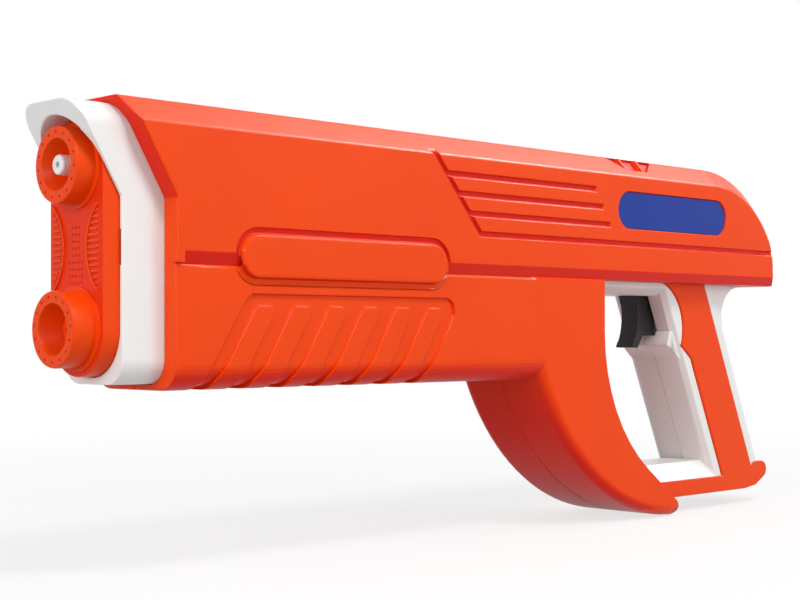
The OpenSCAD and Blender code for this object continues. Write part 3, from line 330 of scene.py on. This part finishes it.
# %% [markdown]
# ## Rounded edges
#
# Nothing that leaves a mould has a sharp edge, and the highlight along each edge is what makes plastic look
# like plastic. Only edges that can be seen from outside are worth a bevel, so rays are sent out from the
# faces beside them: a face is outside when one of its rays gets away from the whole toy.

# %% Find what can be seen from outside
SPRAY = [Vector(v).normalized() for v in ((0, 0, 1), (1, 0, 0.6), (-1, 0, 0.6), (0, 1, 0.6), (0, -1, 0.6))]
toy = bmesh.new()
for solid in nodes.values():
    toy.from_mesh(solid.data)
shadow_tree = BVHTree.FromBMesh(toy)
print("rays are cast against", len(toy.faces), "triangles")
toy.free()


def seen(face):
    turn = face.normal.to_track_quat("Z", "Y")
    spots = [face.calc_center_median_weighted()]
    some = list(face.loops)[:: max(1, len(face.loops) // 6)]
    spots += [loop.vert.co.lerp(spots[0], 0.1) for loop in some]
    for spot in spots:
        start = spot + face.normal * 0.05 * MM
        if any(shadow_tree.ray_cast(start, turn @ way)[0] is None for way in SPRAY):
            return True
    return False


# %% [markdown]
# Where two wide bevels meet in a tight corner they collide: a corner flies off, or a face folds over itself
# and shows as a black splinter. Looking for them by eye takes long, and a limit on all bevels would make
# every edge as thin as the tightest corner allows. So the script finds them itself: a corner that lies far
# from the old skin, or a face whose outline crosses itself. To find a crossing, every side of an outline is
# compared with every other.

# %% Find where a bevel went wrong
WIDEST = 2.0
FAR_CORNER = 0.6 * WIDEST * MM
SMALL_FACE, THIN_FACE = 2 * MM * MM, 0.15 * MM


def crossings(corners, normal):
    """Places where the outline of a face crosses itself."""
    drop = max(range(3), key=lambda axis: abs(normal[axis]))
    spots = np.array(corners)
    flat = np.delete(spots, drop, axis=1)
    way = np.roll(flat, -1, axis=0) - flat
    apart = flat[None] - flat[:, None]
    start = way[:, None, 0] * apart[:, :, 1] - way[:, None, 1] * apart[:, :, 0]
    stop = np.roll(start, -1, axis=1)
    hits = np.argwhere((start * stop < -1e-24) & (start.T * stop.T < -1e-24))
    found = []
    for i, j in hits:
        if i < j:
            share = start[j, i] / (start[j, i] - stop[j, i])
            found.append(Vector(spots[i]).lerp(Vector(spots[(i + 1) % len(spots)]), share))
    return found


def faults(data, old_skin):
    """Far corners, and crossings in the faces that are large enough to be noticed."""
    found = [v.co.copy() for v in data.vertices if old_skin.find_nearest(v.co)[3] > FAR_CORNER]
    for face in data.polygons:
        corners = [data.vertices[i].co for i in face.vertices]
        around = sum((a - b).length for a, b in zip(corners, corners[1:] + corners[:1]))
        if len(corners) > 3 and face.area > max(SMALL_FACE, THIN_FACE * around):
            found += crossings(corners, face.normal)
    return found


print("a corner is too far at %.1f mm" % (FAR_CORNER / MM))

# %% [markdown]
# Each edge carries a weight, and the bevel's width is multiplied by it. So one bevel can leave the seam
# between two pieces crisp and still round the rims. The width may be one number for a whole piece or a
# function that looks at the edge. After the bevel, the short edges beside each fault are made sharp again
# and the bevel is repeated, until no fault is left.

# %% Weigh the edges
SEAM = 0.15
SHARP = math.radians(24)
BESIDE, SHORT = 2.5 * MM, 3 * MM


def weigh(mesh, width):
    """Gives the outside edges their share of the widest rounding. At a seam one of the faces is hidden."""
    weight = mesh.edges.layers.float.new("bevel_weight_edge")
    outside = {face for face in mesh.faces if seen(face)}
    for edge in mesh.edges:
        if len(edge.link_faces) == 2 and edge.calc_face_angle() > SHARP:
            sides = sum(face in outside for face in edge.link_faces)
            if sides == 2:
                edge[weight] = (width(edge) if callable(width) else width) / WIDEST
            elif sides == 1:
                edge[weight] = SEAM / WIDEST
    return weight


def gap(edge, spot):
    first, last = (v.co for v in edge.verts)
    share = intersect_point_line(spot, first, last)[1]
    return (first.lerp(last, min(1.0, max(0.0, share))) - spot).length


def sharpen(mesh, weight, spots):
    """Leaves the short edges beside each spot sharp, or else the shortest one there."""
    for spot in spots:
        soft = sorted((e for e in mesh.edges if e[weight] > 0), key=lambda e: gap(e, spot))
        near = [e for e in soft if gap(e, spot) < BESIDE] or soft[:1]
        short = [e for e in near if e.calc_length() < SHORT]
        for edge in short or [min(near, key=lambda e: e.calc_length())]:
            edge[weight] = 0.0


print("edges count as sharp from %.0f degrees" % math.degrees(SHARP))

# %% [markdown]
# The last part of the tool puts these together: skin, weights, bevel, mending, and cuts that have to stay
# crisp. The piece is then shaded smooth between its sharp edges, with normals that follow its large faces,
# which keeps flat plastic looking flat right up to a rounded edge.

# %% Round the outside edges of a copy
ROUNDS = 10
CREASE = math.radians(32)


def rounded(name, mesh):
    piece = shape(name, mesh)
    bevel = piece.modifiers.new("rounding", "BEVEL")
    bevel.affect = "EDGES"
    bevel.limit_method = "WEIGHT"
    bevel.width = WIDEST * MM
    bevel.segments = 2
    bevel.profile = 0.5
    bevel.material = -1
    bevel.use_clamp_overlap = False
    bake(piece)
    return piece


def settle(piece, name):
    """Smooths a piece, paints it, hangs it on its body and lets it take the place of a solid."""
    piece.data.materials.clear()
    piece.data.materials.append(FINISHES[slot_of[name]])
    piece.data.shade_smooth()
    piece.data.set_sharp_from_angle(angle=CREASE)
    steady = piece.modifiers.new("even normals", "WEIGHTED_NORMAL")
    steady.keep_sharp = True
    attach(piece, body_of[name])
    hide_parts(name)


def moulded(name, width, trim=None, cutter=None, sunk=None):
    """A copy of a solid with rounded edges, the width in mm. The trim is cut off before, the cutter after."""
    mesh = skin_of(name, trim)
    old_skin = BVHTree.FromBMesh(mesh)
    # This layer holds each face's painted shade: how far its orange turns to the deep red of shade.
    depth = mesh.faces.layers.float.new("sunk")
    for face in mesh.faces:
        face[depth] = sunk(face) if sunk else 0.0
    weight = weigh(mesh, width)
    wanted = sum(edge[weight] > 0 for edge in mesh.edges)
    old_faults = [spot for f in mesh.faces for spot in crossings([v.co for v in f.verts], f.normal)]
    for attempt in range(1, ROUNDS + 1):
        piece = rounded("moulded_" + name, mesh.copy())
        wrong = [spot for spot in faults(piece.data, old_skin)
                 if all((spot - old).length > 1 * MM for old in old_faults)]
        if not wrong or attempt == ROUNDS:
            break
        sharpen(mesh, weight, wrong)
        bpy.data.meshes.remove(piece.data)
    left = sum(edge[weight] > 0 for edge in mesh.edges)
    mesh.free()
    if cutter:
        carve(piece, cutter)
    settle(piece, name)
    print("%s: %d of %d edges rounded in %d rounds, %d faces, faults %s" % (
        name, left, wanted, attempt, len(piece.data.polygons), [in_mm(spot) for spot in wrong[:6]]))


print("edges are rounded by their weight, at most %.1f mm" % WIDEST)

# %% [markdown]
# ## Body
#
# The body is two moulded halves. Its places are read off the solids where they can be: the raised bars are
# the widest part of the body, the sloped edges end at its top, and the collar's opening is in the front
# face. The rest are sizes of the toy: the front leans back above a certain height, and a ledge parts the
# wide upper body from the narrower lower one.

# %% Measure the body
def low_high(name, axis):
    reach = [vertex.co[axis] for vertex in nodes[name].data.vertices]
    return min(reach), max(reach)


def middle_of(name):
    return Vector([sum(low_high(name, axis)) / 2 for axis in range(3)])


BAR_FACE = low_high("right_shell", 1)[1]
UPPER_SIDE, LOWER_SIDE = BAR_FACE - 1.5 * MM, BAR_FACE - 3 * MM
TOP, TAIL = low_high("right_shell", 2)[1], low_high("right_shell", 0)[1]
LEDGE, SLOPES_FROM, PADS_TOP, MOAT_FROM = 134.8 * MM, 150 * MM, 126 * MM, 123.5 * MM
TOP_HALF, SLOPE = 22 * MM, math.atan2(10.5, 9.5)
FRONT, RAKE_Z, RAKE = -212.01 * MM, 162 * MM, math.radians(30.5)
VENT = (TAIL - 172 * MM, TAIL - 124 * MM)
OPENING_HALF = 22.3 * MM
OPENING = (low_high("muzzle_collar", 2)[0] - 0.4 * MM, low_high("muzzle_collar", 2)[1] + 0.4 * MM)


def behind_front(spot):
    return spot.x - FRONT + math.tan(RAKE) * max(0.0, spot.z - RAKE_Z)


def under_slope(spot):
    """How deep a place lies below the sloped edge, in m."""
    return (TOP - spot.z) * math.cos(SLOPE) + (TOP_HALF - abs(spot.y)) * math.sin(SLOPE)


print("sides at", in_mm((BAR_FACE, UPPER_SIDE, LOWER_SIDE)), "vents between", in_mm(VENT))

# %% [markdown]
# In shade the orange turns a deep red: on the floors of the vents and grooves, and on everything that looks
# down. The light alone shows some of it. The rest is colour, one value per face, picked by where a face
# lies and where it looks.

# %% Find the body's shade
VENT_DEPTH = (2.3 * MM, 8 * MM)
SHADE = 0.8


def in_vent(face):
    middle = face.calc_center_median()
    deep = VENT_DEPTH[0] < under_slope(middle) < VENT_DEPTH[1]
    return float(deep and VENT[0] < middle.x < VENT[1] and face.normal.z > 0.3)


# Floors of the grooves and the bar's moat, which get painted shade.
def on_groove_floor(out, middle, normal):
    side = UPPER_SIDE - 0.3 * MM if middle.z > LEDGE + 0.2 * MM else LOWER_SIDE - 0.1 * MM
    sunk = LOWER_SIDE - 2 * MM < middle.y * out < side
    return sunk and normal.y * out > 0.9 and middle.z > MOAT_FROM


def in_shade(face):
    """1 in the vents, less on the floors of the grooves and on what looks down."""
    middle, normal = face.calc_center_median(), face.normal
    out = 1 if middle.y > 0 else -1
    outer = middle.y * out > 3 * MM and normal.y * out > -0.1 and middle.z > 5 * MM
    down = outer * min(1.0, max(0.0, -2 * normal.z - 0.1))
    return max(in_vent(face), SHADE * on_groove_floor(out, middle, normal), SHADE * down)


print("shaded faces are up to %.0f %% deep red" % (100 * SHADE))

# %% [markdown]
# The body's edges differ. The bars and the grip pads stand out and are the roundest, the long sloped edges
# and the front rim are soft, and the vents are crisp. The ledge has a chamfer in the solid already and is
# left as it is. One function names the kind of an edge, and a table gives each kind its width in mm.

# %% Round the body
BODY_ROUNDING = {
    "bar": 1.8, "pad": 0.9, "front rim": 1.2, "front opening": 0.5, "vent": 0.3, "ledge": 0.0,
    "slope's lower edge": 1.2, "slope's upper edge": 1.4, "other": 0.6,
}


def on_ledge(spot):
    beside = LOWER_SIDE - 2 * MM < abs(spot.y) < LOWER_SIDE + 0.2 * MM
    return beside and LEDGE - 1.8 * MM < spot.z < LEDGE + 0.5 * MM


def on_slope(lean):
    return abs(lean - math.sin(SLOPE)) < 0.02


def kind_of(edge):
    spots = [v.co for v in edge.verts]
    middle = (spots[0] + spots[1]) / 2
    outwards = min(abs(spot.y) for spot in spots)
    low_lean, high_lean = sorted(abs(face.normal.y) for face in edge.link_faces)
    if outwards > BAR_FACE - 0.05 * MM:
        return "bar"
    if outwards > LOWER_SIDE - 0.05 * MM and max(spot.z for spot in spots) < PADS_TOP and middle.x < 0:
        return "pad"
    if max(behind_front(spot) for spot in spots) < 0.1 * MM:
        inside = abs(middle.y) < OPENING_HALF and OPENING[0] < middle.z < OPENING[1]
        return "front opening" if inside else "front rim"
    if VENT[0] < middle.x < VENT[1] and -1 * MM < under_slope(middle) < 4 * MM:
        return "vent"
    if all(on_ledge(spot) for spot in spots):
        return "ledge"
    if middle.z > SLOPES_FROM and on_slope(low_lean) and high_lean > 0.99:
        return "slope's lower edge"
    if middle.z > SLOPES_FROM and low_lean < 0.02 and on_slope(high_lean):
        return "slope's upper edge"
    return "other"


for name in ("left_shell", "right_shell"):
    moulded(name, lambda edge: BODY_ROUNDING[kind_of(edge)], sunk=in_shade)

# %% [markdown]
# ## Nose
#
# Both cups of the nose have a ring of fine dots on their rims, and more dots fill the hourglass between
# them, three abreast above and five below. On the toy they are small blind holes. Here they are short
# cones, cut away from the nose, because a bump in the material would look flat from the side. The ladder
# ribs end a little before the nose's edge, so two boxes cut their ends off.

# %% Cutters for the nose
NOSE_X = low_high("intake_strainer", 0)[1]
JET, INTAKE = middle_of("jet_nozzle"), middle_of("intake_strainer")
NOSE_MIDDLE = (JET.z + INTAKE.z) / 2
RIMS = ((low_high("jet_nozzle", 0)[0] - 0.6 * MM, JET.z, 18), (low_high("nose_plate", 0)[0], INTAKE.z, 6))
RING, RING_DOTS, RING_DOT = 13.6 * MM, 15, 0.65 * MM
FIRST_ROW, ROW_PITCH, DOT_PITCH, FIELD_DOT = 8.4 * MM, 2.9 * MM, 2.25 * MM, 0.6 * MM
DOT_DEPTH = 0.7 * MM
RUNG_END = (2 * MM, 8.8 * MM, 42 * MM)
RUNG_END_Y = 21 * MM


def dots():
    cones = bmesh.new()
    spots = []
    for x, z, first in RIMS:
        for i in range(RING_DOTS):
            turn = math.radians(360 / RING_DOTS * i + first)
            spots.append((x, RING * math.cos(turn), z + RING * math.sin(turn), RING_DOT))
    for row in range(9):
        count = 3 if row < 5 else 5
        z = NOSE_MIDDLE + FIRST_ROW - ROW_PITCH * row
        spots += [(NOSE_X, (i - (count - 1) / 2) * DOT_PITCH, z, FIELD_DOT) for i in range(count)]
    for x, y, z, radius in spots:
        stand = Matrix.Translation((x, y, z)) @ Matrix.Rotation(math.pi / 2, 4, "Y")
        bmesh.ops.create_cone(cones, cap_ends=True, segments=14, radius1=radius * 1.15, radius2=radius * 0.85,
                              depth=2 * DOT_DEPTH, matrix=stand)
    print(len(spots), "dots")
    return cones


def rung_ends():
    boxes = bmesh.new()
    for side in (-1, 1):
        place = Matrix.Translation((NOSE_X - RUNG_END[0] / 2, side * RUNG_END_Y, NOSE_MIDDLE))
        bmesh.ops.create_cube(boxes, size=1.0, matrix=place @ Matrix.Diagonal((*RUNG_END, 1)))
    return boxes


print("the nose's face is at x = %.1f mm" % (NOSE_X / MM))

# %% [markdown]
# The cups' rims and the nose's own edge are round, and the ribs on its face are too small for more than a
# touch. The face between the ribs lies lower and is painted with half of the deep red of shade. The collar,
# the jet's tip and the strainer each have one width all over.

# %% Round the nose, the collar and the ports
CUP_WALL, EDGE_FROM = 15 * MM, 19.5 * MM


# The nose's face between the ribs gets half of the painted shade.
def on_nose_face(face):
    return 0.5 * float(face.normal.x < -0.99 and abs(face.calc_center_median().x - NOSE_X) < 0.05 * MM)


def nose_rounding(edge):
    middle = (edge.verts[0].co + edge.verts[1].co) / 2
    for x, z, _ in RIMS:
        if abs(middle.x - x) < 0.1 * MM and math.hypot(middle.y, middle.z - z) > CUP_WALL:
            return 0.9
    beyond = max(middle.z - JET.z, INTAKE.z - middle.z, 0.0)
    on_edge = abs(middle.x - NOSE_X) < 0.05 * MM and math.hypot(middle.y, beyond) > EDGE_FROM
    return 0.9 if on_edge else 0.12


moulded("nose_plate", nose_rounding, trim=rung_ends(), cutter=dots(), sunk=on_nose_face)
for name, width in (("muzzle_collar", 0.7), ("jet_nozzle", 0.5), ("intake_strainer", 0.15)):
    moulded(name, width)

# %% [markdown]
# ## Handle, badges, trigger and cap
#
# What a hand touches is rounded more than what it doesn't. The handle's white halves have the softest
# edges, then come its orange sides and the trigger. The blue plates and the rubber cap lie nearly flush, so
# theirs are small.

# %% Round the handle and what belongs to it
for side in ("left", "right"):
    for name, width in (("grip_core", 0.9), ("grip_plate", 0.7), ("badge", 0.2)):
        moulded(side + "_" + name, width)
for name, width in (("trigger", 0.7), ("socket_cap", 0.3)):
    moulded(name, width)

# %% [markdown]
# ## Screws
#
# The screws sit deep in the right half. Each head gets a cross for the driver: two crossed boxes, cut from
# the face that looks out. The heads are found by their large flat faces, so the crosses follow the screws
# wherever they are.

# %% Crosses in the screw heads
CROSS_LENGTH, CROSS_WIDTH, CROSS_DEPTH = 3.4 * MM, 0.75 * MM, 1.1 * MM
HEAD_AREA = 20 * MM * MM


def crosses(name):
    boxes = bmesh.new()
    heads = skin_of(name)
    tops = [f.calc_center_median() for f in heads.faces if f.normal.y > 0.99 and f.calc_area() > HEAD_AREA]
    heads.free()
    for top in tops:
        for x, z in ((CROSS_LENGTH, CROSS_WIDTH), (CROSS_WIDTH, CROSS_LENGTH)):
            box = Matrix.Translation(top) @ Matrix.Diagonal((x, 2 * CROSS_DEPTH, z, 1))
            bmesh.ops.create_cube(boxes, size=1.0, matrix=box)
    print(name, "has", len(tops), "heads")
    return boxes


for name in ("shell_screws", "grip_screws"):
    moulded(name, 0.4, cutter=crosses(name))

# %% [markdown]
# ## Springs
#
# Two coil springs are pressed when the toy is used: one under the arm of the trigger and one below the
# plunger of the valve. A solid can't shorten, so each becomes a copy with a mesh of its own, and the share
# of its length that is left at the end of its joint's stroke is worked out and printed.

# %% Copies of the springs
STROKES = (("plunger_spring", "plunger_lift", 6.1 * MM), ("trigger_spring", "trigger_pull", 4.6 * MM))
for name, joint, stroke in STROKES:
    coil = shape("coil_" + name, skin_of(name))
    settle(coil, name)
    low, high = low_high(name, 2)
    middle = middle_of(name)
    keep = 1 - stroke / (high - low)
    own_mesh(coil)
    print("%s shortens to %.0f %%" % (name, 100 * keep))

# %% [markdown]
# ## Studio
#
# The floor and the background are pale. To look white they would need more light than the toy should get,
# so their white is shown only to what the camera sees, straight or mirrored, and the toy itself is lit by a
# grey floor and a dimmer sky. Near the toy the floor keeps some of its own shading, because that is where
# the shadow lies.

# %% Floor and sky
FLOOR_GREY, FLOOR_WHITE = (0.42, 0.42, 0.42, 1), (0.86, 0.86, 0.86, 1)
FLOOR_DROP = 0.5 * MM
SKY_LIGHT = 0.5


def seen_rays(tree):
    """1 for what the camera sees, straight, mirrored or through glass, and 0 for the light on the toy."""
    path = tree.nodes.new("ShaderNodeLightPath")
    kinds = ("Camera", "Glossy", "Transmission")
    straight, mirrored, through = (Wire(path.outputs["Is %s Ray" % kind]) for kind in kinds)
    return straight.math("MAXIMUM", straight, straight.math("MAXIMUM", mirrored, through))


def floor_finish():
    material, shader, place = finish("pale floor", Roughness=0.9)
    tree = material.node_tree
    rays = seen_rays(tree)
    rays.blend(FLOOR_GREY, FLOOR_WHITE).feed(shader, "Base Color")
    distance = place.make("ShaderNodeVectorMath", {"operation": "LENGTH"}, {0: place}, out=1)
    far = distance.ramp((0.25, 0.72), (0.9, 1.0))
    glow = rays.make("ShaderNodeEmission", {}, {"Strength": 1.0})
    mixed = rays.make("ShaderNodeMixShader", {}, {0: rays * far, 1: Wire(shader.outputs[0]), 2: glow})
    mixed.feed(tree.nodes["Material Output"], "Surface")
    return material


grid = bmesh.new()
bmesh.ops.create_grid(grid, x_segments=1, y_segments=1, size=6.0)
floor = shape("floor", grid)
floor.location.z = -FLOOR_DROP
floor.data.materials.append(floor_finish())
floor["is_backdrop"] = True

world = bpy.data.worlds.new("studio")
bpy.context.scene.world = world
world.use_nodes = True
sky = world.node_tree.nodes["Background"]
sky.inputs["Color"].default_value = (1, 1, 1, 1)
(SKY_LIGHT + (1 - SKY_LIGHT) * seen_rays(world.node_tree)).feed(sky, "Strength")
print("the floor lies %.1f mm below the toy" % (FLOOR_DROP / MM))

# %% [markdown]
# The key lamp stands above the toy's left side, and two wide lamps light the nose and the lower side. Three
# more are seen only in reflections, as bright cards are in a studio: one lies along the sloped edge, and
# two smaller ones draw the thin bright lines on the upper and front edges of the bars, pads and grooves.

# %% Lamps
def soft_lamp(name, place, target, size, power, diffuse=True, glossy=True):
    data = bpy.data.lights.new(name, "AREA")
    data.shape = "DISK"
    data.size = size
    data.energy = power
    lamp = bpy.data.objects.new(name, data)
    lamp.location = place
    lamp.rotation_euler = (Vector(target) - Vector(place)).to_track_quat("-Z", "Y").to_euler()
    lamp.visible_diffuse = diffuse
    lamp.visible_glossy = glossy
    bpy.context.scene.collection.objects.link(lamp)


soft_lamp("key", (-0.3, -0.95, 1.5), (0, 0, 0.12), 0.45, 13.2)
soft_lamp("sheen", (0.9, -0.4, 1.35), (0, 0, 0.15), 1.0, 19, diffuse=False)
soft_lamp("glint", (-1.0, -1.15, 1.05), (-0.05, 0, 0.12), 0.5, 44, diffuse=False)
soft_lamp("rim", (1.19, -0.62, 1.17), (0, 0, 0.14), 0.5, 36, diffuse=False)
soft_lamp("front", (-1.6, -0.3, 0.5), (0, 0, 0.12), 0.9, 10)
soft_lamp("fill", (0.75, -1.45, 0.4), (0.15, 0, 0.08), 0.9, 7.5, glossy=False)
print(len(bpy.data.lights), "lamps")

# %% [markdown]
# The camera stands level, a little above the bottom of the handle, with a long lens. The horizon of the
# photograph lies below its middle, which is what the lens shift is for: tilting the camera would make the
# upright edges lean. The focal length and the shifts are in pixels of a picture 800 pixels wide.

# %% Camera
PICTURE_WIDTH, FOCAL_LENGTH, SHIFT_X, SHIFT_Y = 800, 1537, -1, 33
camera_data = bpy.data.cameras.new("camera")
camera_data.sensor_width = 36
camera_data.lens = camera_data.sensor_width * FOCAL_LENGTH / PICTURE_WIDTH
camera_data.shift_x = SHIFT_X / PICTURE_WIDTH
camera_data.shift_y = SHIFT_Y / PICTURE_WIDTH
camera_data.clip_start = 0.01
camera = bpy.data.objects.new("camera", camera_data)
camera.location = (-0.5954, -0.5507, 0.1055)
camera.rotation_euler = Vector((0.7034, 0.7108, 0)).to_track_quat("-Z", "Y").to_euler()
bpy.context.scene.collection.objects.link(camera)
bpy.context.scene.camera = camera
bpy.context.scene.view_settings.view_transform = "Standard"
print("lens %.1f mm" % camera_data.lens)

# %% [markdown]
# ## Last look
#
# Rounding only takes plastic away, so the toy should not have grown. Both boxes are printed, and the toy is
# finished.

# %% Print the boxes and finish
visual_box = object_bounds()
print("CAD box", [in_mm(c) for c in cad_box])
print("visual box", [in_mm(c) for c in visual_box])
